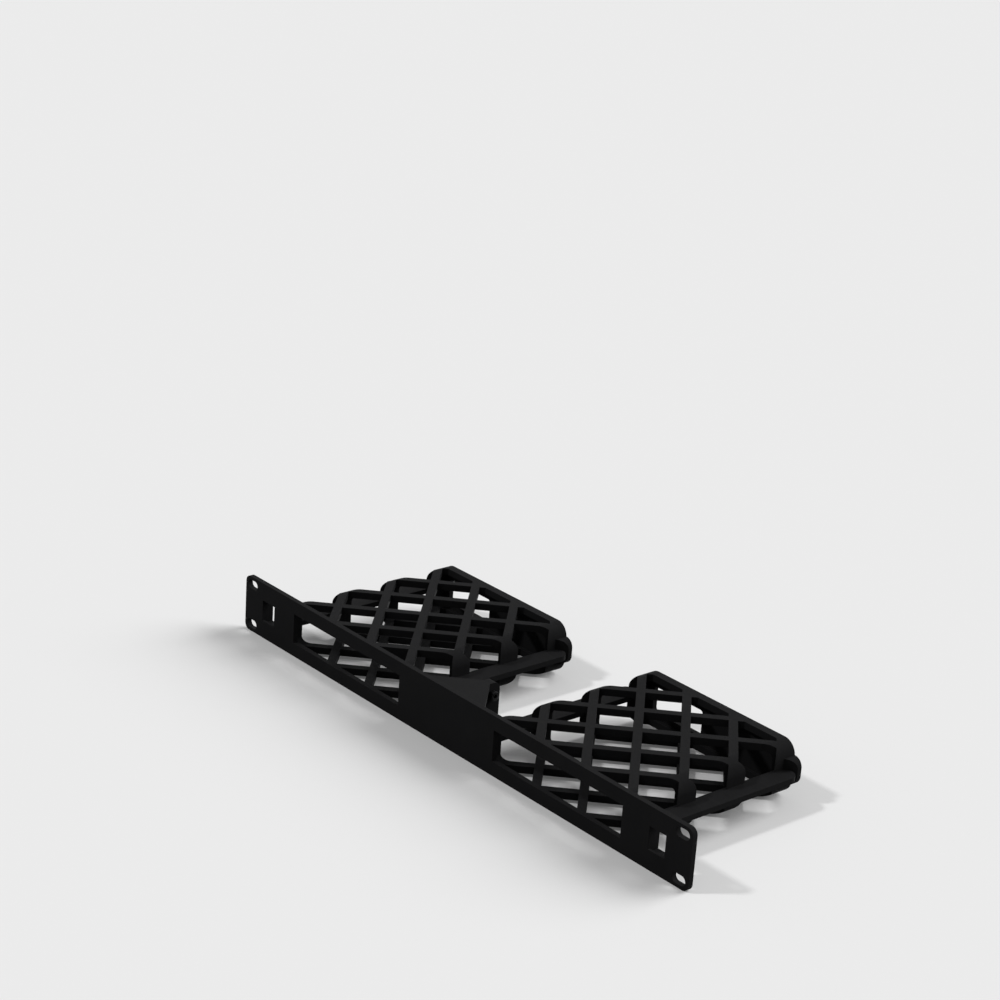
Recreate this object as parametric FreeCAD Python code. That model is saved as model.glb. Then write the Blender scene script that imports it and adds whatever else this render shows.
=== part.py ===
import FreeCAD, Part
import math
import os

# A nineteen-inch, one-unit rack bracket that carries two small devices in lattice cages.
# It is printed in two halves that bolt together through a flange behind the panel's middle.
# X runs along the panel, Y runs from the panel back into the rack, and Z is up.
# The origin is at the middle of the rack slots, on the panel's back face. Sizes are in millimetres.

V = FreeCAD.Vector
X_AXIS = V(1, 0, 0)
Y_AXIS = V(0, 1, 0)
Z_AXIS = V(0, 0, 1)
CUT_ALLOWANCE = 1.0

# Panel, to the rack standard
PANEL_WIDTH = 482.6
PANEL_HEIGHT = 43.66
PANEL_THICKNESS = 4.0
PANEL_CORNER_RADIUS = 5.0

# Slots for the rack screws
SLOT_TO_END = 8.75
SLOT_TO_TOP = 5.955
SLOT_LENGTH = 12.0
SLOT_WIDTH = 7.0

# Cage: the space inside, its shell, and the panel's lip round the front opening
CAGE_SPACING = 230.4
CAVITY_WIDTH = 132.4
CAVITY_HEIGHT = 28.4
CAVITY_DEPTH = 141.2
CAVITY_EDGE_RADIUS = 5.2
CAGE_WALL = 5.3
BACK_WALL = 4.0
FRONT_LIP = 2.7

# Lattice cut through the cage's top, bottom and sides
LATTICE_CELLS_ACROSS = 3
LATTICE_TO_SIDE = 4.0
BAR_WIDTH = 6.3
BACK_RIM_LIP = 3.0

# Cable window in the cage's back wall
WINDOW_WIDTH = 48.5
WINDOW_HEIGHT = 19.3
WINDOW_TO_WALL = 5.75
WINDOW_CORNER_RADIUS = 2.5

# Stiffening ledge along each side of a cage, and the ear at its back end
LEDGE_REACH = 12.8
LEDGE_THICKNESS = 4.1
LEDGE_END_RADIUS = 8.0
EAR_REACH = 7.1
EAR_THICKNESS = 3.6
EAR_HEIGHT = 20.0
EAR_EDGE_RADIUS = 7.0

# Flange where the halves meet, with its gussets and bolts
FLANGE_THICKNESS = 4.0
FLANGE_LENGTH = 41.0
FLANGE_HEIGHT = 36.0
FLANGE_CORNER_RADIUS = 5.5
GUSSET_THICKNESS = 4.0
BOLT_TO_BACK = 7.0
BOLT_TO_TOP = 8.6
BOLT_DIAMETER = 4.0
BOLT_TAIL = 4.8
BOLT_HOLE_CLEARANCE = 0.5
BOLT_HEAD_DIAMETER = 7.0
BOLT_HEAD_HEIGHT = 4.0
SOCKET_ACROSS_FLATS = 3.0
SOCKET_DEPTH = 2.0
NUT_ACROSS_FLATS = 7.0
NUT_HEIGHT = 3.2
THREAD_CLEARANCE = 0.1

# Snap-in jack socket beside the rack slots
JACK_TO_SLOT = 21.2
JACK_WIDTH = 15.0
JACK_HEIGHT = 16.2
JACK_DEPTH = 9.5
JACK_SLEEVE_WALL = 2.5
JACK_LIP = 1.8
JACK_CATCH_DEPTH = 2.2
JACK_ROOF_RISE = 2.2

# Places worked out from the sizes above
CAGE_BACK = CAVITY_DEPTH + BACK_WALL
CAGE_HALF_WIDTH = CAVITY_WIDTH / 2 + CAGE_WALL
CAGE_HEIGHT = CAVITY_HEIGHT + 2 * CAGE_WALL
WALL_MIDDLE = CAVITY_WIDTH / 2 + CAGE_WALL / 2
LATTICE_PITCH = 2 * (CAGE_HALF_WIDTH - LATTICE_TO_SIDE) / LATTICE_CELLS_ACROSS
LATTICE_END = CAGE_BACK - BACK_WALL - BACK_RIM_LIP
WINDOW_OFFSET = WINDOW_TO_WALL + WINDOW_WIDTH / 2 - CAVITY_WIDTH / 2
SLOT_SPACING_X = PANEL_WIDTH - 2 * SLOT_TO_END
SLOT_SPACING_Z = PANEL_HEIGHT - 2 * SLOT_TO_TOP
GUSSET_LEG = FLANGE_LENGTH - FLANGE_CORNER_RADIUS
BOLT_Y = FLANGE_LENGTH - BOLT_TO_BACK
BOLT_SPACING = FLANGE_HEIGHT - 2 * BOLT_TO_TOP
BOLT_LENGTH = 2 * FLANGE_THICKNESS + NUT_HEIGHT + BOLT_TAIL
JACK_CENTRE_X = SLOT_SPACING_X / 2 - JACK_TO_SLOT


def box(x_span, y_span, z_span):
    """A block between the two values of each span, in either order."""
    low = V(min(x_span), min(y_span), min(z_span))
    high = V(max(x_span), max(y_span), max(z_span))
    return Part.makeBox(high.x - low.x, high.y - low.y, high.z - low.z, low)


def centred(middle, size):
    """The span of a size about its middle."""
    return (middle - size / 2, middle + size / 2)


def edges_along(shape, axis):
    """The straight edges of a shape that run along an axis."""
    found = []
    for edge in shape.Edges:
        run = edge.Vertexes[-1].Point - edge.Vertexes[0].Point
        if run.Length > 0 and abs(run.normalize().dot(axis)) > 0.999:
            found.append(edge)
    return found


def rounded_block(x_span, y_span, z_span, axis, radius):
    """A block whose edges along one axis are rounded."""
    block = box(x_span, y_span, z_span)
    return block.makeFillet(radius, edges_along(block, axis))


def prism(points, direction):
    """A straight-sided solid raised from an outline."""
    outline = Part.makePolygon(points + [points[0]])
    return Part.Face(outline).extrude(direction)


def hexagon_bar(across_flats, start, length):
    """A six-sided bar along X from its start point."""
    corner = across_flats / math.sqrt(3)
    points = []
    for step in range(6):
        turn = math.radians(60 * step)
        points.append(start + V(0, corner * math.cos(turn), corner * math.sin(turn)))
    return prism(points, V(length, 0, 0))


def lattice_cell(x, y):
    """One diamond of the lattice, as a tall prism."""
    side = LATTICE_PITCH / math.sqrt(2) - BAR_WIDTH
    height = centred(0, CAGE_HEIGHT + 2 * CUT_ALLOWANCE)
    cell = box(centred(0, side), centred(0, side), height)
    cell.rotate(V(0, 0, 0), Z_AXIS, 45)
    cell.translate(V(x, y, 0))
    return cell


def lattice_cutter(cage_x):
    """All the diamonds of one cage, kept behind the panel and in front of the back rim."""
    half_pitch = LATTICE_PITCH / 2
    rows = math.ceil(LATTICE_END / half_pitch)
    cells = []
    for column in range(-LATTICE_CELLS_ACROSS, LATTICE_CELLS_ACROSS + 1):
        for row in range(rows + 1):
            if (column + row + LATTICE_CELLS_ACROSS) % 2:
                cells.append(lattice_cell(cage_x + column * half_pitch, row * half_pitch))
    reach = CAVITY_WIDTH + LATTICE_PITCH
    zone = box(centred(cage_x, 2 * reach), (0, LATTICE_END),
               centred(0, CAGE_HEIGHT + 4 * CUT_ALLOWANCE))
    return Part.makeCompound(cells).common(zone)


def cage(cage_x):
    """The lattice shell round one device space, closed at the back but for its cable window."""
    outer = rounded_block(centred(cage_x, 2 * CAGE_HALF_WIDTH), (0, CAGE_BACK),
                          centred(0, CAGE_HEIGHT), Y_AXIS, CAVITY_EDGE_RADIUS + CAGE_WALL)
    cavity = rounded_block(centred(cage_x, CAVITY_WIDTH), (-CUT_ALLOWANCE, CAGE_BACK - BACK_WALL),
                           centred(0, CAVITY_HEIGHT), Y_AXIS, CAVITY_EDGE_RADIUS)
    window = rounded_block(centred(cage_x + WINDOW_OFFSET, WINDOW_WIDTH),
                           (CAGE_BACK - BACK_WALL - CUT_ALLOWANCE, CAGE_BACK + CUT_ALLOWANCE),
                           centred(0, WINDOW_HEIGHT), Y_AXIS, WINDOW_CORNER_RADIUS)
    return outer.cut([cavity, window, lattice_cutter(cage_x)])


def ledge(cage_x, side):
    """The flat rib along one side of a cage, at mid height."""
    inner = cage_x + side * WALL_MIDDLE
    outer = cage_x + side * (CAGE_HALF_WIDTH + LEDGE_REACH)
    plate = box((inner, outer), (0, LATTICE_END), centred(0, LEDGE_THICKNESS))
    end_corner = []
    for edge in edges_along(plate, Z_AXIS):
        place = edge.CenterOfMass
        if abs(place.x - outer) < CUT_ALLOWANCE and place.y > LATTICE_END - CUT_ALLOWANCE:
            end_corner.append(edge)
    return plate.makeFillet(LEDGE_END_RADIUS, end_corner)


def ear(cage_x, side):
    """The rounded ear at a cage's back corner, whose front slopes out from the wall at 45 degrees."""
    outer = CAGE_HALF_WIDTH + EAR_REACH
    front = CAGE_BACK - EAR_THICKNESS
    slope_start = front - (outer - WALL_MIDDLE)
    plan = [(WALL_MIDDLE, slope_start), (outer, front), (outer, CAGE_BACK), (WALL_MIDDLE, CAGE_BACK)]
    points = [V(cage_x + side * x, y, -EAR_HEIGHT / 2) for x, y in plan]
    block = prism(points, V(0, 0, EAR_HEIGHT))
    outer_edges = []
    for edge in edges_along(block, Y_AXIS):
        if abs(edge.CenterOfMass.x - cage_x) > CAGE_HALF_WIDTH:
            outer_edges.append(edge)
    return block.makeFillet(EAR_EDGE_RADIUS, outer_edges)


def flange(side):
    """The plate that meets the other half's, with a gusset above and below."""
    plate = box((0, side * FLANGE_THICKNESS), (0, FLANGE_LENGTH), centred(0, FLANGE_HEIGHT))
    back_corners = []
    for edge in edges_along(plate, X_AXIS):
        if edge.CenterOfMass.y > CUT_ALLOWANCE:
            back_corners.append(edge)
    shape = plate.makeFillet(FLANGE_CORNER_RADIUS, back_corners)
    for floor in (-FLANGE_HEIGHT / 2, FLANGE_HEIGHT / 2 - GUSSET_THICKNESS):
        corner = V(0, 0, floor)
        points = [corner, corner + V(side * GUSSET_LEG, 0, 0), corner + V(0, GUSSET_LEG, 0)]
        shape = shape.fuse(prism(points, V(0, 0, GUSSET_THICKNESS)))
    return shape


def bolt_heights():
    """The heights of the two joint bolts."""
    return centred(0, BOLT_SPACING)


def bolt_holes():
    """Clearance holes through both flange plates."""
    radius = (BOLT_DIAMETER + BOLT_HOLE_CLEARANCE) / 2
    length = 2 * (FLANGE_THICKNESS + CUT_ALLOWANCE)
    holes = []
    for z in bolt_heights():
        holes.append(Part.makeCylinder(radius, length, V(-length / 2, BOLT_Y, z), X_AXIS))
    return holes


def half_panel(side):
    """One half of the front panel, with its outer corners rounded."""
    end = side * PANEL_WIDTH / 2
    plate = box((0, end), (-PANEL_THICKNESS, 0), centred(0, PANEL_HEIGHT))
    corners = []
    for edge in edges_along(plate, Y_AXIS):
        if abs(edge.CenterOfMass.x) > CUT_ALLOWANCE:
            corners.append(edge)
    return plate.makeFillet(PANEL_CORNER_RADIUS, corners)


def rack_slots(side):
    """The two slots at one end of the panel."""
    slots = []
    for z in centred(0, SLOT_SPACING_Z):
        straight = SLOT_LENGTH - SLOT_WIDTH
        x = side * SLOT_SPACING_X / 2
        depth = (-PANEL_THICKNESS - CUT_ALLOWANCE, CUT_ALLOWANCE)
        slot = box(centred(x, straight), depth, centred(z, SLOT_WIDTH))
        for end_x in centred(x, straight):
            end = Part.makeCylinder(SLOT_WIDTH / 2, depth[1] - depth[0], V(end_x, depth[0], z), Y_AXIS)
            slot = slot.fuse(end)
        slots.append(slot)
    return slots


def jack_sleeve(side):
    """The block behind the panel that a snap-in jack latches into."""
    x = side * JACK_CENTRE_X
    return box(centred(x, JACK_WIDTH + 2 * JACK_SLEEVE_WALL), (0, JACK_DEPTH - PANEL_THICKNESS),
               centred(0, JACK_HEIGHT + 2 * (JACK_SLEEVE_WALL + JACK_ROOF_RISE)))


def jack_space(side):
    """The jack's window, with the lower floor and the sloped roof behind its lip."""
    x_span = centred(side * JACK_CENTRE_X, JACK_WIDTH)
    front = -PANEL_THICKNESS
    back = front + JACK_DEPTH
    window = box(x_span, (front - CUT_ALLOWANCE, back + CUT_ALLOWANCE), centred(0, JACK_HEIGHT))
    floor = -JACK_HEIGHT / 2
    catch = box(x_span, (front + JACK_LIP, back + CUT_ALLOWANCE),
                (floor - JACK_CATCH_DEPTH, floor + CUT_ALLOWANCE))
    start = V(x_span[0], front + JACK_LIP, JACK_HEIGHT / 2 - CUT_ALLOWANCE)
    overlap = V(0, 0, CUT_ALLOWANCE)
    rise = overlap + V(0, 0, JACK_ROOF_RISE)
    run = V(0, JACK_DEPTH - JACK_LIP, 0)
    roof = prism([start, start + rise, start + run + overlap, start + run], V(JACK_WIDTH, 0, 0))
    return [window, catch, roof]


def half_bracket(side):
    """One printed half: panel, cage, ledges, ears, flange and jack socket as one solid."""
    cage_x = side * CAGE_SPACING / 2
    pieces = [cage(cage_x), flange(side), jack_sleeve(side)]
    for edge_side in (-1, 1):
        pieces.append(ledge(cage_x, edge_side))
        pieces.append(ear(cage_x, edge_side))
    body = half_panel(side).fuse(pieces)
    opening = box(centred(cage_x, CAVITY_WIDTH - 2 * FRONT_LIP),
                  (-PANEL_THICKNESS - CUT_ALLOWANCE, CUT_ALLOWANCE),
                  centred(0, CAVITY_HEIGHT - 2 * FRONT_LIP))
    body = body.cut([opening] + bolt_holes() + rack_slots(side) + jack_space(side))
    return body.removeSplitter()


def joint_bolt(z):
    """A socket-head bolt through the flange, head on the right."""
    seat = V(FLANGE_THICKNESS, BOLT_Y, z)
    head = Part.makeCylinder(BOLT_HEAD_DIAMETER / 2, BOLT_HEAD_HEIGHT, seat, X_AXIS)
    shank = Part.makeCylinder(BOLT_DIAMETER / 2, BOLT_LENGTH, seat, -X_AXIS)
    socket_floor = seat + X_AXIS * (BOLT_HEAD_HEIGHT - SOCKET_DEPTH)
    socket = hexagon_bar(SOCKET_ACROSS_FLATS, socket_floor, SOCKET_DEPTH + CUT_ALLOWANCE)
    return head.fuse(shank).cut(socket).removeSplitter()


def joint_nut(z):
    """A hexagon nut against the flange's left face."""
    seat = V(-FLANGE_THICKNESS, BOLT_Y, z)
    nut = hexagon_bar(NUT_ACROSS_FLATS, seat, -NUT_HEIGHT)
    thread = Part.makeCylinder((BOLT_DIAMETER + THREAD_CLEARANCE) / 2, NUT_HEIGHT, seat, -X_AXIS)
    return nut.cut(thread)


def main():
    """Build every node and write its STEP file."""
    os.makedirs("parts", exist_ok=True)
    nodes = {
        "left_half": half_bracket(-1),
        "right_half": half_bracket(1),
        "joint_bolts": Part.makeCompound([joint_bolt(z) for z in bolt_heights()]),
        "joint_nuts": Part.makeCompound([joint_nut(z) for z in bolt_heights()]),
    }
    for name, shape in nodes.items():
        shape.exportStep("parts/" + name + ".step")
        print(name, len(shape.Solids), "solids, valid:", shape.isValid())


main()
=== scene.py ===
import math

import bmesh
import bpy
from mathutils import Matrix, Vector


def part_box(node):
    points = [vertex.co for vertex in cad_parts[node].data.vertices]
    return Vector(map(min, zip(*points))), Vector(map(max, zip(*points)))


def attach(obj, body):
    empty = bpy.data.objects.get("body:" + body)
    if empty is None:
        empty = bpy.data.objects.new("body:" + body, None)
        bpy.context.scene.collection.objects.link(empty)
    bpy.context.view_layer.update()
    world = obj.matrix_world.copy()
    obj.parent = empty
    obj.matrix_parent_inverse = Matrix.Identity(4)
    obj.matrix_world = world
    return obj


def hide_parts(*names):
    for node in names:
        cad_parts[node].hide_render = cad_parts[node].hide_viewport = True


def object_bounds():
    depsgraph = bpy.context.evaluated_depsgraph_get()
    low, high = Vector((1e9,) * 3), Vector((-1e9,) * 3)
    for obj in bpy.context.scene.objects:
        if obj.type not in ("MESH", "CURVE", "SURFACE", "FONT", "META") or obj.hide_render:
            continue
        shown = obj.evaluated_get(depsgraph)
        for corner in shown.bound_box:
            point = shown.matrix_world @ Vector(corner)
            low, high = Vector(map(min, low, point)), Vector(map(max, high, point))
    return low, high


bl_info = {
    "name": "Printed rack bracket",
    "version": (1, 0, 0),
    "blender": (4, 5, 0),
    "location": "View3D > Sidebar > Rack bracket",
    "description": "Finishes the printed rack bracket, models its bolts and nuts and sets up the studio",
    "category": "Object",
}

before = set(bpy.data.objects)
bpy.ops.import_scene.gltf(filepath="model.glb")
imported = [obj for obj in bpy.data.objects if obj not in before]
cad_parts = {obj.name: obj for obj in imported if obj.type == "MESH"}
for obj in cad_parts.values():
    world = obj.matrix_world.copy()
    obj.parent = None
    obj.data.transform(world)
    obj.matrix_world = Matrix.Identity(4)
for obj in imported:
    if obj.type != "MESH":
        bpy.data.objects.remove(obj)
CAD_LOW, CAD_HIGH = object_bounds()
BOLTS_LOW, BOLTS_HIGH = (Vector(corner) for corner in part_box("joint_bolts"))
NUTS_LOW, NUTS_HIGH = (Vector(corner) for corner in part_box("joint_nuts"))
BODY = "root"
MM = 0.001

# Least share of a normal along an axis that counts as square to it, and a length that counts as none
SQUARE = 0.99
HAIR = 0.001 * MM

# How far a cutter or a shank reaches past the face that it crosses
OVERLAP = 0.5 * MM

# Print: facing at which the first or last layer starts to show and shows fully, and how the bands lie
END_LAYER_FACING = (0.9, 0.98)
LAYERS_PER_BAND = 10
BAND_SQUEEZE = 0.01

# Values between which soft noise mostly lies
NOISE_SPAN = (0.3, 0.7)

# Thread's ridge: height by the thread's depth, root by the pitch, crest by the root, steps in one turn
RIDGE_HEIGHT = 1.2
RIDGE_ROOT = 0.9
RIDGE_CREST = 0.2
TURN_STEPS = 24

# Sides of the round and six-sided bars, and how far their ends flare or narrow
HEXAGON = 6
HEAD_SIDES = 48
SHANK_SIDES = 32
BORE_SIDES = 48
ENVELOPE_SIDES = 64
MOUTH_FLARE = 1.5
BORE_FLARE = 1.3
NUT_FACE = 0.97


class PlasticFinish(bpy.types.PropertyGroup):
    """Black printed plastic of the two halves."""

    colour: bpy.props.FloatVectorProperty(
        name="Colour", description="Colour of the plastic", subtype="COLOR", size=3,
        min=0.0, max=1.0, default=(0.0138, 0.0138, 0.0143))
    shine: bpy.props.FloatProperty(
        name="Shine", description="Specular level of the plastic", min=0.0, max=1.0, default=0.006)
    layer_height: bpy.props.FloatProperty(
        name="Layer height", description="Height of one printed layer", subtype="DISTANCE",
        min=0.0001, default=0.25 * MM)
    track_width: bpy.props.FloatProperty(
        name="Track width", description="Width of one printed track on the last layer", subtype="DISTANCE",
        min=0.0001, default=0.45 * MM)
    relief: bpy.props.FloatProperty(
        name="Relief", description="Depth between two layers", subtype="DISTANCE", default=0.012 * MM)
    edge_radius: bpy.props.FloatProperty(
        name="Edge radius", description="Softness of the printed edges", subtype="DISTANCE",
        default=0.3 * MM)
    cloud_size: bpy.props.FloatProperty(
        name="Cloud size", description="Size of the wide changes of tone", subtype="DISTANCE",
        default=18.0 * MM)
    grain_size: bpy.props.FloatProperty(
        name="Grain size", description="Size of the grain that the print bed leaves", subtype="DISTANCE",
        default=0.35 * MM)
    tones: bpy.props.FloatVectorProperty(
        name="Tones", description="Darkest and lightest share of the colour", size=2, default=(0.7, 1.3))
    roughness: bpy.props.FloatVectorProperty(
        name="Roughness", description="Lowest and highest roughness", size=2, default=(0.35, 0.45))


class FastenerSizes(bpy.types.PropertyGroup):
    """Joint bolts and nuts."""

    steel: bpy.props.FloatVectorProperty(
        name="Steel", description="Colour of the blackened steel", subtype="COLOR", size=3,
        min=0.0, max=1.0, default=(0.02, 0.02, 0.021))
    metallic: bpy.props.FloatProperty(
        name="Metallic", description="How much of the steel shows through its skin", min=0.0, max=1.0,
        default=0.8)
    tones: bpy.props.FloatVectorProperty(
        name="Tones", description="Darkest and lightest share of the colour", size=2, default=(0.5, 1.5))
    roughness: bpy.props.FloatVectorProperty(
        name="Roughness", description="Lowest and highest roughness", size=2, default=(0.34, 0.5))
    cloud_size: bpy.props.FloatProperty(
        name="Cloud size", description="Size of the wide changes of tone", subtype="DISTANCE",
        default=1.5 * MM)
    grain_size: bpy.props.FloatProperty(
        name="Grain size", description="Size of the skin's grain", subtype="DISTANCE", default=0.12 * MM)
    relief: bpy.props.FloatProperty(
        name="Relief", description="Depth of the skin's grain", subtype="DISTANCE", default=0.004 * MM)
    head_height: bpy.props.FloatProperty(
        name="Head height", description="Height of a bolt's head", subtype="DISTANCE", default=4.0 * MM)
    head_chamfer: bpy.props.FloatProperty(
        name="Head chamfer", description="Chamfer round a bolt's head", subtype="DISTANCE",
        default=0.4 * MM)
    rib_depth: bpy.props.FloatProperty(
        name="Rib depth", description="Depth of the ribs round a bolt's head", subtype="DISTANCE",
        default=0.12 * MM)
    shank_diameter: bpy.props.FloatProperty(
        name="Shank", description="Diameter over a bolt's thread", subtype="DISTANCE", default=4.0 * MM)
    thread_pitch: bpy.props.FloatProperty(
        name="Pitch", description="Distance between two turns of the thread", subtype="DISTANCE",
        default=0.7 * MM)
    thread_depth: bpy.props.FloatProperty(
        name="Thread depth", description="Depth of the thread", subtype="DISTANCE", default=0.4 * MM)
    tip_chamfer: bpy.props.FloatProperty(
        name="Tip chamfer", description="Chamfer at a bolt's tip", subtype="DISTANCE", default=0.4 * MM)
    socket_across_flats: bpy.props.FloatProperty(
        name="Socket", description="Width across the flats of a bolt's socket", subtype="DISTANCE",
        default=3.0 * MM)
    socket_depth: bpy.props.FloatProperty(
        name="Socket depth", description="Depth of a bolt's socket", subtype="DISTANCE", default=2.0 * MM)
    nut_chamfer: bpy.props.FloatProperty(
        name="Nut chamfer", description="Height of the chamfer on a nut's corners", subtype="DISTANCE",
        default=0.3 * MM)
    nut_bore: bpy.props.FloatProperty(
        name="Nut bore", description="Diameter of a nut's hole", subtype="DISTANCE", default=4.1 * MM)


class StudioLook(bpy.types.PropertyGroup):
    """Floor, light and camera."""

    floor_colour: bpy.props.FloatVectorProperty(
        name="Floor", description="Colour of the floor", subtype="COLOR", size=3,
        min=0.0, max=1.0, default=(0.736, 0.736, 0.736))
    floor_glow: bpy.props.FloatProperty(
        name="Glow", description="Even brightness that the floor shows in its shadows too", min=0.0,
        default=0.082)
    floor_size: bpy.props.FloatProperty(
        name="Floor size", description="Length of the floor's sides", subtype="DISTANCE", default=60.0)
    floor_bounce: bpy.props.FloatVectorProperty(
        name="Bounce", description="Colour of the floor for the light that it throws back", subtype="COLOR",
        size=3, min=0.0, max=1.0, default=(0.2, 0.2, 0.2))
    sky_strength: bpy.props.FloatProperty(
        name="Sky", description="Strength of the even light from all round", default=0.25)
    shown_sky: bpy.props.FloatProperty(
        name="Shown sky", description="Strength of the sky as the camera and a sheen show it", default=0.85)
    key_strength: bpy.props.FloatProperty(
        name="Key", description="Strength of the small lamp at the front", default=1.1)
    key_azimuth: bpy.props.FloatProperty(
        name="Key azimuth", description="Turn of the front lamp round the bracket", subtype="ANGLE",
        default=math.radians(-34.0))
    key_elevation: bpy.props.FloatProperty(
        name="Key elevation", description="Height of the front lamp above the horizon", subtype="ANGLE",
        default=math.radians(47.0))
    key_breadth: bpy.props.FloatProperty(
        name="Key breadth", description="Angle that the front lamp fills", subtype="ANGLE",
        default=math.radians(6.0))
    back_strength: bpy.props.FloatProperty(
        name="Back", description="Strength of the broad lamp at the back", default=2.75)
    back_azimuth: bpy.props.FloatProperty(
        name="Back azimuth", description="Turn of the back lamp round the bracket", subtype="ANGLE",
        default=math.radians(157.0))
    back_elevation: bpy.props.FloatProperty(
        name="Back elevation", description="Height of the back lamp above the horizon", subtype="ANGLE",
        default=math.radians(36.0))
    back_breadth: bpy.props.FloatProperty(
        name="Back breadth", description="Angle that the back lamp fills", subtype="ANGLE",
        default=math.radians(47.0))
    camera_place: bpy.props.FloatVectorProperty(
        name="Camera", description="Where the camera stands", subtype="XYZ_LENGTH", size=3,
        default=(1.1166, -0.9459, 0.6941))
    camera_azimuth: bpy.props.FloatProperty(
        name="Azimuth", description="Turn of the camera round the bracket", subtype="ANGLE",
        default=math.radians(48.763))
    camera_elevation: bpy.props.FloatProperty(
        name="Elevation", description="Height of the camera above the horizon", subtype="ANGLE",
        default=math.radians(20.055))
    camera_roll: bpy.props.FloatProperty(
        name="Roll", description="Lean of the camera", subtype="ANGLE", default=math.radians(3.875))
    camera_lens: bpy.props.FloatProperty(
        name="Lens", description="Focal length on a 36 mm frame", default=84.68)


def new_node(tree, kind, **settings):
    """A new node with its settings."""
    node = tree.nodes.new(kind)
    for name, value in settings.items():
        setattr(node, name, value)
    return node


def plug(tree, socket, value):
    """Link a socket to another one, or set its number."""
    if isinstance(value, bpy.types.NodeSocket):
        tree.links.new(value, socket)
    else:
        socket.default_value = value


def calculate(tree, operation, first, second=0.0):
    """The result of a Math node."""
    node = new_node(tree, "ShaderNodeMath", operation=operation)
    plug(tree, node.inputs[0], first)
    plug(tree, node.inputs[1], second)
    return node.outputs["Value"]


def remap(tree, value, from_low, from_high, to_low, to_high):
    """A value moved from one range to another and kept inside it."""
    node = new_node(tree, "ShaderNodeMapRange", clamp=True)
    for name, given in (("Value", value), ("From Min", from_low), ("From Max", from_high),
                        ("To Min", to_low), ("To Max", to_high)):
        plug(tree, node.inputs[name], given)
    return node.outputs["Result"]


def blend(tree, share, first, second):
    """A mix of two values by the share of the second."""
    node = new_node(tree, "ShaderNodeMix", data_type="FLOAT")
    for name, given in (("Factor", share), ("A", first), ("B", second)):
        plug(tree, node.inputs[name], given)
    return node.outputs["Result"]


def mix_colours(tree, share, first, second):
    """A mix of two colours by the share of the second."""
    node = new_node(tree, "ShaderNodeMix", data_type="RGBA")
    plug(tree, node.inputs["Factor"], share)
    shades = [socket for socket in node.inputs if socket.type == "RGBA"]
    for socket, colour in zip(shades, (first, second)):
        socket.default_value = (*colour, 1.0)
    return next(socket for socket in node.outputs if socket.type == "RGBA")


def shade_of(tree, share, colour, tones):
    """A colour that goes from a low to a high share of itself."""
    dark, light = ([part * tone for part in colour] for tone in tones)
    return mix_colours(tree, share, dark, light)


def shown(tree):
    """One for the rays that show the background: the camera's, and those of a sheen or a clear piece."""
    path = new_node(tree, "ShaderNodeLightPath").outputs
    mirrored = calculate(tree, "MAXIMUM", path["Is Glossy Ray"], path["Is Transmission Ray"])
    return calculate(tree, "MAXIMUM", path["Is Camera Ray"], mirrored)


def noise(tree, position, scale, detail):
    """Soft noise at a position."""
    node = new_node(tree, "ShaderNodeTexNoise")
    plug(tree, node.inputs["Vector"], position)
    plug(tree, node.inputs["Scale"], scale)
    plug(tree, node.inputs["Detail"], detail)
    return node.outputs["Fac"]


def effect_group(name, inputs, outputs):
    """An empty shader node group with its sockets."""
    tree = bpy.data.node_groups.new(name, "ShaderNodeTree")
    for label, kind in inputs.items():
        tree.interface.new_socket(label, in_out="INPUT", socket_type=kind)
    for label in outputs:
        tree.interface.new_socket(label, in_out="OUTPUT", socket_type="NodeSocketFloat")
    return tree, tree.nodes.new("NodeGroupInput").outputs, tree.nodes.new("NodeGroupOutput").inputs


def uneven_surface():
    """The group that gives a surface its wide clouds and its fine grain."""
    if "uneven_surface" in bpy.data.node_groups:
        return bpy.data.node_groups["uneven_surface"]
    tree, given, result = effect_group(
        "uneven_surface",
        {"Position": "NodeSocketVector", "Wide": "NodeSocketFloat", "Fine": "NodeSocketFloat"},
        ("Clouds", "Grain"))
    clouds = noise(tree, given["Position"], calculate(tree, "DIVIDE", 1.0, given["Wide"]), detail=3.0)
    grain = noise(tree, given["Position"], calculate(tree, "DIVIDE", 1.0, given["Fine"]), detail=1.0)
    plug(tree, result["Clouds"], clouds)
    plug(tree, result["Grain"], grain)
    return tree


def ripple(tree, place, pitch):
    """Even waves along a line, one for each pitch."""
    turns = calculate(tree, "MULTIPLY", calculate(tree, "DIVIDE", place, pitch), math.tau)
    return remap(tree, calculate(tree, "SINE", turns), -1.0, 1.0, 0.0, 1.0)


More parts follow.
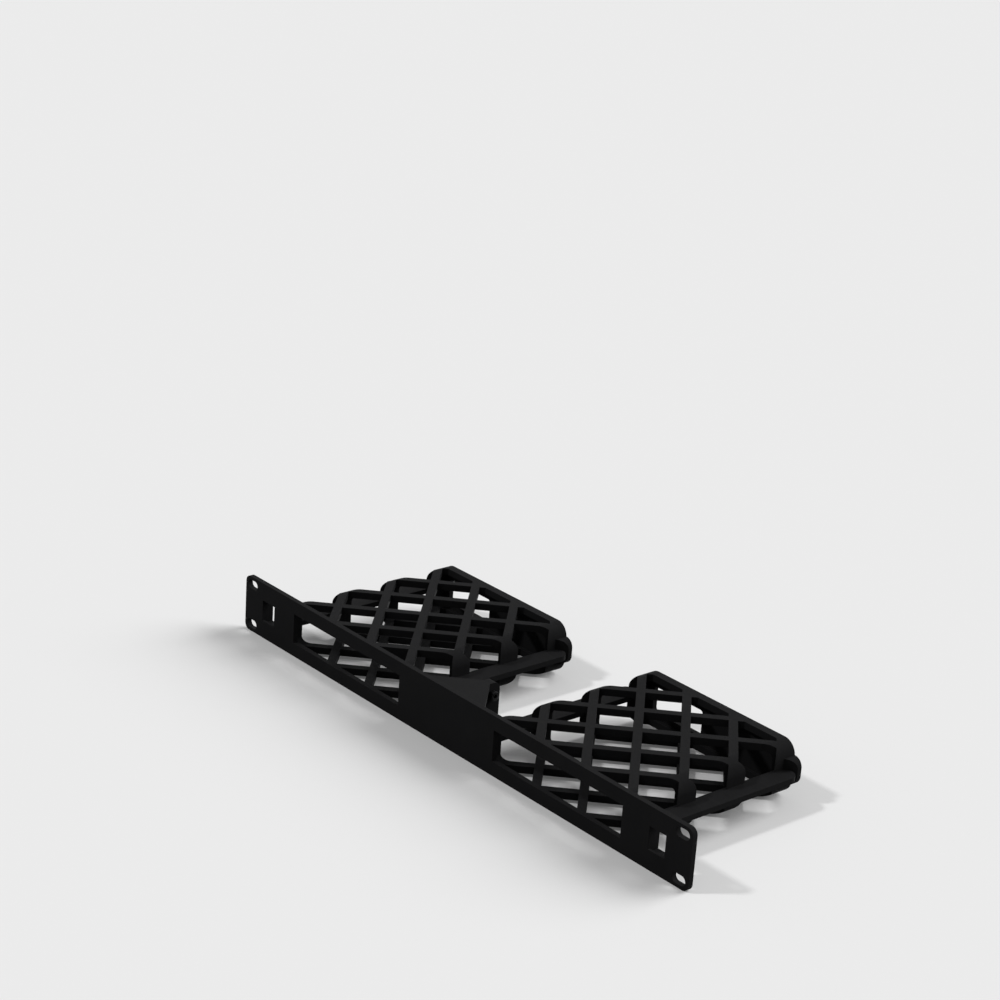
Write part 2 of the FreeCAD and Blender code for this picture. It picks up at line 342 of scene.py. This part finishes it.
def printed_layers():
    """The group that stacks layers from the panel's front back, with slanting tracks on the last one."""
    tree, given, result = effect_group(
        "printed_layers",
        {"Position": "NodeSocketVector", "Facing": "NodeSocketVector", "Bed": "NodeSocketFloat",
         "Layer": "NodeSocketFloat", "Track": "NodeSocketFloat"},
        ("Height", "Bands"))
    place = new_node(tree, "ShaderNodeSeparateXYZ")
    plug(tree, place.inputs["Vector"], given["Position"])
    facing = new_node(tree, "ShaderNodeSeparateXYZ")
    plug(tree, facing.inputs["Vector"], given["Facing"])
    across = calculate(tree, "ADD", place.outputs["X"], place.outputs["Z"])
    slant = calculate(tree, "MULTIPLY", across, math.sqrt(0.5))
    layers = ripple(tree, place.outputs["Y"], given["Layer"])
    tracks = ripple(tree, slant, given["Track"])
    start, full = END_LAYER_FACING
    last_layer = remap(tree, facing.outputs["Y"], start, full, 0.0, 1.0)
    first_layer = remap(tree, facing.outputs["Y"], -start, -full, 0.0, 1.0)
    height = blend(tree, last_layer, layers, tracks)
    plug(tree, result["Height"], blend(tree, first_layer, height, given["Bed"]))

    long_bands = new_node(tree, "ShaderNodeCombineXYZ")
    plug(tree, long_bands.inputs["X"], calculate(tree, "MULTIPLY", place.outputs["X"], BAND_SQUEEZE))
    plug(tree, long_bands.inputs["Y"], place.outputs["Y"])
    plug(tree, long_bands.inputs["Z"], calculate(tree, "MULTIPLY", place.outputs["Z"], BAND_SQUEEZE))
    scale = calculate(tree, "DIVIDE", 1.0 / LAYERS_PER_BAND, given["Layer"])
    plug(tree, result["Bands"], noise(tree, long_bands.outputs["Vector"], scale, detail=4.0))
    return tree


def place_group(tree, group, **values):
    """A group in a material, with its own values."""
    node = new_node(tree, "ShaderNodeGroup", node_tree=group)
    for name, value in values.items():
        plug(tree, node.inputs[name], value)
    return node.outputs


def new_material(name):
    """A node material and its shader's sockets."""
    material = bpy.data.materials.new(name)
    material.use_nodes = True
    tree = material.node_tree
    return material, tree, tree.nodes["Principled BSDF"].inputs


def printed_plastic(finish):
    """Black satin plastic, laid down in thin layers."""
    material, tree, shader = new_material("black_printed_plastic")
    place = new_node(tree, "ShaderNodeTexCoord").outputs
    uneven = place_group(tree, uneven_surface(), Position=place["Object"],
                         Wide=finish.cloud_size, Fine=finish.grain_size)
    layers = place_group(tree, printed_layers(), Position=place["Object"], Facing=place["Normal"],
                         Bed=uneven["Grain"], Layer=finish.layer_height, Track=finish.track_width)
    tone = blend(tree, 0.5, uneven["Clouds"], layers["Bands"])
    plug(tree, shader["Base Color"], shade_of(tree, tone, finish.colour, finish.tones))
    plug(tree, shader["Roughness"], remap(tree, tone, *NOISE_SPAN, *finish.roughness))
    shader["Specular IOR Level"].default_value = finish.shine
    edge = new_node(tree, "ShaderNodeBevel", samples=4)
    edge.inputs["Radius"].default_value = finish.edge_radius
    bump = new_node(tree, "ShaderNodeBump")
    bump.inputs["Distance"].default_value = finish.relief
    plug(tree, bump.inputs["Height"], layers["Height"])
    plug(tree, bump.inputs["Normal"], edge.outputs["Normal"])
    plug(tree, shader["Normal"], bump.outputs["Normal"])
    return material


def blackened_steel(sizes):
    """Steel with a thin black skin."""
    if "blackened_steel" in bpy.data.materials:
        return bpy.data.materials["blackened_steel"]
    material, tree, shader = new_material("blackened_steel")
    place = new_node(tree, "ShaderNodeTexCoord").outputs
    uneven = place_group(tree, uneven_surface(), Position=place["Object"],
                         Wide=sizes.cloud_size, Fine=sizes.grain_size)
    plug(tree, shader["Base Color"], shade_of(tree, uneven["Clouds"], sizes.steel, sizes.tones))
    plug(tree, shader["Roughness"], remap(tree, uneven["Clouds"], *NOISE_SPAN, *sizes.roughness))
    shader["Metallic"].default_value = sizes.metallic
    bump = new_node(tree, "ShaderNodeBump")
    bump.inputs["Distance"].default_value = sizes.relief
    plug(tree, bump.inputs["Height"], uneven["Grain"])
    plug(tree, shader["Normal"], bump.outputs["Normal"])
    return material


def along(length):
    """A step along the bolts' axis."""
    return Vector((length, 0, 0))


def bar(name, sides, diameter, start, length):
    """A round or six-sided bar along X from its start point."""
    bpy.ops.object.select_all(action="DESELECT")
    bpy.ops.mesh.primitive_cylinder_add(
        vertices=sides, radius=diameter / 2, depth=abs(length), location=start + along(length / 2),
        rotation=(0, math.radians(90), 0))
    piece = bpy.context.active_object
    piece.name = name
    bpy.ops.object.transform_apply(location=True, rotation=True, scale=True)
    return piece


def work_on(piece):
    """Select one piece alone."""
    bpy.ops.object.select_all(action="DESELECT")
    bpy.context.view_layer.objects.active = piece
    piece.select_set(True)


def pick(piece, kind, wanted):
    """Go into edit mode and select the faces or edges of a piece that a test wants."""
    if piece.mode != "EDIT":
        work_on(piece)
        bpy.ops.object.mode_set(mode="EDIT")
    bpy.ops.mesh.select_mode(type=kind)
    bpy.ops.mesh.select_all(action="DESELECT")
    mesh = bmesh.from_edit_mesh(piece.data)
    mesh.normal_update()
    for element in mesh.faces if kind == "FACE" else mesh.edges:
        element.select_set(wanted(element))
    mesh.select_flush_mode()
    bmesh.update_edit_mesh(piece.data)


def chamfer_end(piece, x, width):
    """Break the rim at a bar's end."""
    pick(piece, "EDGE", lambda edge: all(abs(corner.co.x - x) < HAIR for corner in edge.verts))
    bpy.ops.mesh.bevel(offset=width, segments=2, affect="EDGES")
    bpy.ops.object.mode_set(mode="OBJECT")


def flare_end(piece, side, length, scale, axis):
    """Draw the end of a bar out along X to a wider or narrower rim."""
    pick(piece, "FACE", lambda face: face.normal.x * side > SQUARE)
    bpy.ops.mesh.extrude_region_move(TRANSFORM_OT_translate={"value": along(side * length)})
    bpy.ops.transform.resize(value=(1, scale, scale), center_override=axis)
    bpy.ops.object.mode_set(mode="OBJECT")


def enlarge(scale):
    """Scale the selected pieces about the origin."""
    bpy.ops.transform.resize(value=(scale, scale, scale), center_override=(0, 0, 0))
    bpy.ops.object.transform_apply(location=True, rotation=True, scale=True)


def combine(piece, other, operation):
    """Cut, join or trim a piece by another, which goes, at a size that suits the tool."""
    work_on(piece)
    other.select_set(True)
    enlarge(1 / MM)
    work_on(piece)
    step = piece.modifiers.new(operation, "BOOLEAN")
    step.operation = operation
    step.solver = "EXACT"
    step.object = other
    bpy.ops.object.modifier_apply(modifier=step.name)
    bpy.data.objects.remove(other)
    enlarge(MM)
    if not piece.data.polygons:
        raise RuntimeError("nothing is left of " + piece.name)


def thread_ridge(start, length, sizes):
    """The ridge of a right-hand thread that winds along X, rooted in the core."""
    bpy.ops.object.select_all(action="DESELECT")
    bpy.ops.mesh.primitive_plane_add(size=1, location=start)
    ridge = bpy.context.active_object
    ridge.name = "thread_ridge"
    bpy.ops.object.mode_set(mode="EDIT")
    bpy.ops.mesh.delete(type="ONLY_FACE")
    bpy.ops.mesh.select_all(action="SELECT")
    height = RIDGE_HEIGHT * sizes.thread_depth
    bpy.ops.transform.resize(value=(RIDGE_ROOT * sizes.thread_pitch, height, 1), center_override=start)
    bpy.ops.transform.translate(value=(0, sizes.shank_diameter / 2 - height / 2, 0))
    crest = sizes.shank_diameter / 2 - height / 4
    pick(ridge, "EDGE", lambda edge: all(corner.co.y > crest for corner in edge.verts))
    bpy.ops.transform.resize(value=(RIDGE_CREST, 1, 1), center_override=start)
    bpy.ops.object.mode_set(mode="OBJECT")
    wind = ridge.modifiers.new("wind", "SCREW")
    wind.axis = "X"
    wind.screw_offset = math.copysign(sizes.thread_pitch, length)
    wind.angle = math.copysign(math.tau, length)
    wind.iterations = math.ceil(abs(length) / sizes.thread_pitch) + 1
    wind.steps = TURN_STEPS
    wind.render_steps = TURN_STEPS
    bpy.ops.object.modifier_apply(modifier=wind.name)
    bpy.ops.object.mode_set(mode="EDIT")
    bpy.ops.mesh.select_all(action="SELECT")
    bpy.ops.mesh.fill_holes(sides=4)
    bpy.ops.mesh.select_all(action="SELECT")
    bpy.ops.mesh.bisect(
        plane_co=start + along(length), plane_no=(1, 0, 0), use_fill=True, clear_inner=True,
        threshold=HAIR)
    bpy.ops.mesh.select_all(action="SELECT")
    bpy.ops.mesh.normals_make_consistent(inside=False)
    bpy.ops.object.mode_set(mode="OBJECT")
    bpy.ops.object.transform_apply(location=True)
    return ridge


def second_one(piece, name, move):
    """A copy of a piece with its own mesh, at another place."""
    work_on(piece)
    bpy.ops.object.duplicate(linked=False)
    copy = bpy.context.active_object
    copy.name = name
    bpy.ops.transform.translate(value=move)
    bpy.ops.object.transform_apply(location=True)
    return copy


def fit_steel(piece, node, material):
    """Give a steel piece its look and put it in the place of its solid."""
    work_on(piece)
    bpy.ops.object.shade_smooth_by_angle(angle=math.radians(30))
    piece.data.materials.clear()
    piece.data.materials.append(material)
    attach(piece, BODY)
    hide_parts(node)


class RACKBRACKET_OT_printed_halves(bpy.types.Operator):
    """Give the two printed halves their plastic."""

    bl_idname = "rackbracket.printed_halves"
    bl_label = "Printed halves"

    def execute(self, context):
        material = printed_plastic(context.scene.bracket_plastic)
        for name in ("left_half", "right_half"):
            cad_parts[name].material_slots[0].material = material
        return {"FINISHED"}


class RACKBRACKET_OT_joint_bolts(bpy.types.Operator):
    """Model the two socket-head bolts that hold the halves together."""

    bl_idname = "rackbracket.joint_bolts"
    bl_label = "Joint bolts"

    def execute(self, context):
        sizes = context.scene.bracket_fasteners
        diameter = BOLTS_HIGH.y - BOLTS_LOW.y
        axis = Vector((0, (BOLTS_LOW.y + BOLTS_HIGH.y) / 2, BOLTS_HIGH.z - diameter / 2))
        top = axis + along(BOLTS_HIGH.x)
        seat = top - along(sizes.head_height)

        head = bar("joint_bolt_upper", HEAD_SIDES, diameter, seat, sizes.head_height)
        chamfer_end(head, top.x, sizes.head_chamfer)

        def every_second_side(face):
            middle = face.calc_center_median() - axis
            number = round(math.atan2(middle.z, middle.y) / math.tau * HEAD_SIDES - 0.5)
            return abs(face.normal.x) < 1 - SQUARE and number % 2 == 0

        pick(head, "FACE", every_second_side)
        bpy.ops.mesh.inset(thickness=sizes.rib_depth / 2, depth=-sizes.rib_depth, use_individual=True)
        bpy.ops.object.mode_set(mode="OBJECT")

        corners = sizes.socket_across_flats * 2 / math.sqrt(3)
        depth = sizes.socket_depth
        combine(head, bar("socket", HEXAGON, corners, top - along(depth), depth + OVERLAP), "DIFFERENCE")
        mouth = bar("mouth", HEAD_SIDES, sizes.socket_across_flats, top - along(OVERLAP), OVERLAP / 2)
        flare_end(mouth, 1, OVERLAP, MOUTH_FLARE, axis)
        combine(head, mouth, "DIFFERENCE")

        root = seat + along(OVERLAP)
        length = BOLTS_LOW.x - root.x
        shank = bar("shank", SHANK_SIDES, sizes.shank_diameter - 2 * sizes.thread_depth, root, length)
        chamfer_end(shank, BOLTS_LOW.x, sizes.tip_chamfer)
        combine(shank, thread_ridge(root, length + sizes.tip_chamfer, sizes), "UNION")
        work_on(head)
        shank.select_set(True)
        bpy.ops.object.join()

        lower = second_one(head, "joint_bolt_lower", (0, 0, BOLTS_LOW.z + BOLTS_HIGH.z - 2 * axis.z))
        for piece in (head, lower):
            fit_steel(piece, "joint_bolts", blackened_steel(sizes))
        return {"FINISHED"}


class RACKBRACKET_OT_joint_nuts(bpy.types.Operator):
    """Model the two hexagon nuts on the joint bolts."""

    bl_idname = "rackbracket.joint_nuts"
    bl_label = "Joint nuts"

    def execute(self, context):
        sizes = context.scene.bracket_fasteners
        corners = NUTS_HIGH.y - NUTS_LOW.y
        across_flats = corners * math.sqrt(3) / 2
        axis = Vector((0, (NUTS_LOW.y + NUTS_HIGH.y) / 2, NUTS_HIGH.z - across_flats / 2))
        back = axis + along(NUTS_LOW.x)
        height = NUTS_HIGH.x - NUTS_LOW.x
        chamfer = sizes.nut_chamfer
        narrowing = 1 - NUT_FACE * across_flats / corners

        nut = bar("joint_nut_upper", HEXAGON, corners, back, height)
        envelope = bar("envelope", ENVELOPE_SIDES, corners, back + along(chamfer), height - 2 * chamfer)
        bore = bar("bore", BORE_SIDES, sizes.nut_bore, back + along(chamfer), height - 2 * chamfer)
        for side in (-1, 1):
            flare_end(envelope, side, 2 * chamfer, 1 - 2 * narrowing, axis)
            flare_end(bore, side, 2 * chamfer, BORE_FLARE, axis)
        combine(nut, envelope, "INTERSECT")
        combine(nut, bore, "DIFFERENCE")

        lower = second_one(nut, "joint_nut_lower", (0, 0, NUTS_LOW.z + NUTS_HIGH.z - 2 * axis.z))
        for piece in (nut, lower):
            fit_steel(piece, "joint_nuts", blackened_steel(sizes))
        return {"FINISHED"}


def towards(azimuth, elevation):
    """The direction of a place round the bracket, where azimuth zero is in front of the panel."""
    flat = math.cos(elevation)
    return Vector((math.sin(azimuth) * flat, -math.cos(azimuth) * flat, math.sin(elevation)))


def sun(name, azimuth, elevation, breadth, strength):
    """A far lamp at one direction."""
    data = bpy.data.lights.new(name, "SUN")
    data.energy = strength
    data.angle = breadth
    lamp = bpy.data.objects.new(name, data)
    bpy.context.scene.collection.objects.link(lamp)
    lamp.rotation_euler = towards(azimuth, elevation).to_track_quat("Z", "Y").to_euler()
    return lamp


def lay_floor(look):
    """A wide pale floor under the bracket."""
    bpy.ops.object.select_all(action="DESELECT")
    bpy.ops.mesh.primitive_plane_add(size=look.floor_size, location=(0, 0, CAD_LOW.z))
    floor = bpy.context.active_object
    floor.name = "studio_floor"
    bpy.ops.object.transform_apply(location=True)
    material, tree, shader = new_material("pale_floor")
    share = shown(tree)
    plug(tree, shader["Base Color"], mix_colours(tree, share, look.floor_bounce, look.floor_colour))
    shader["Emission Color"].default_value = (1, 1, 1, 1)
    plug(tree, shader["Emission Strength"], calculate(tree, "MULTIPLY", share, look.floor_glow))
    shader["Roughness"].default_value = 1.0
    shader["Specular IOR Level"].default_value = 0.0
    floor.data.materials.append(material)


def light_sky(look):
    """An even sky, which the camera and a sheen show brighter than it lights."""
    world = bpy.data.worlds.new("studio_sky")
    bpy.context.scene.world = world
    world.use_nodes = True
    tree = world.node_tree
    background = tree.nodes["Background"].inputs
    background["Color"].default_value = (1, 1, 1, 1)
    plug(tree, background["Strength"],
         remap(tree, shown(tree), 0.0, 1.0, look.sky_strength, look.shown_sky))


def set_camera(look):
    """The camera at the photo's angle."""
    data = bpy.data.cameras.new("photo_camera")
    data.sensor_width = 36.0
    data.lens = look.camera_lens
    data.clip_end = 100.0
    camera = bpy.data.objects.new("photo_camera", data)
    bpy.context.scene.collection.objects.link(camera)
    back = towards(look.camera_azimuth, look.camera_elevation)
    turn = back.to_track_quat("Z", "Y").to_matrix().to_4x4()
    roll = Matrix.Rotation(look.camera_roll, 4, "Z")
    camera.matrix_world = Matrix.Translation(look.camera_place) @ turn @ roll
    bpy.context.scene.camera = camera


class RACKBRACKET_OT_studio(bpy.types.Operator):
    """Lay the floor and set the lamps and the camera."""

    bl_idname = "rackbracket.studio"
    bl_label = "Studio"

    def execute(self, context):
        look = context.scene.bracket_studio
        lay_floor(look)
        light_sky(look)
        sun("key_lamp", look.key_azimuth, look.key_elevation, look.key_breadth, look.key_strength)
        back_lamp = sun("back_lamp", look.back_azimuth, look.back_elevation, look.back_breadth,
                        look.back_strength)
        back_lamp.visible_glossy = False
        set_camera(look)
        context.scene.view_settings.view_transform = "Standard"
        return {"FINISHED"}


class RACKBRACKET_PT_panel(bpy.types.Panel):
    """The bracket's steps and sizes."""

    bl_idname = "RACKBRACKET_PT_panel"
    bl_label = "Rack bracket"
    bl_space_type = "VIEW_3D"
    bl_region_type = "UI"
    bl_category = "Rack bracket"

    def draw(self, context):
        for operator in STEPS:
            self.layout.operator(operator.bl_idname)
        scene = context.scene
        for group in (scene.bracket_plastic, scene.bracket_fasteners, scene.bracket_studio):
            column = self.layout.column()
            for name in group.__annotations__:
                column.prop(group, name)


STEPS = (RACKBRACKET_OT_printed_halves, RACKBRACKET_OT_joint_bolts, RACKBRACKET_OT_joint_nuts,
         RACKBRACKET_OT_studio)
CLASSES = (PlasticFinish, FastenerSizes, StudioLook, *STEPS, RACKBRACKET_PT_panel)


def register():
    """Make the classes and their settings known to Blender."""
    for item in CLASSES:
        bpy.utils.register_class(item)
    bpy.types.Scene.bracket_plastic = bpy.props.PointerProperty(type=PlasticFinish)
    bpy.types.Scene.bracket_fasteners = bpy.props.PointerProperty(type=FastenerSizes)
    bpy.types.Scene.bracket_studio = bpy.props.PointerProperty(type=StudioLook)


def unregister():
    """Take the classes and their settings out again."""
    del bpy.types.Scene.bracket_studio
    del bpy.types.Scene.bracket_fasteners
    del bpy.types.Scene.bracket_plastic
    for item in reversed(CLASSES):
        bpy.utils.unregister_class(item)


def main():
    """Build every piece."""
    register()
    bpy.ops.rackbracket.printed_halves()
    bpy.ops.rackbracket.joint_bolts()
    bpy.ops.rackbracket.joint_nuts()
    bpy.ops.rackbracket.studio()


if __name__ == "__main__":
    main()
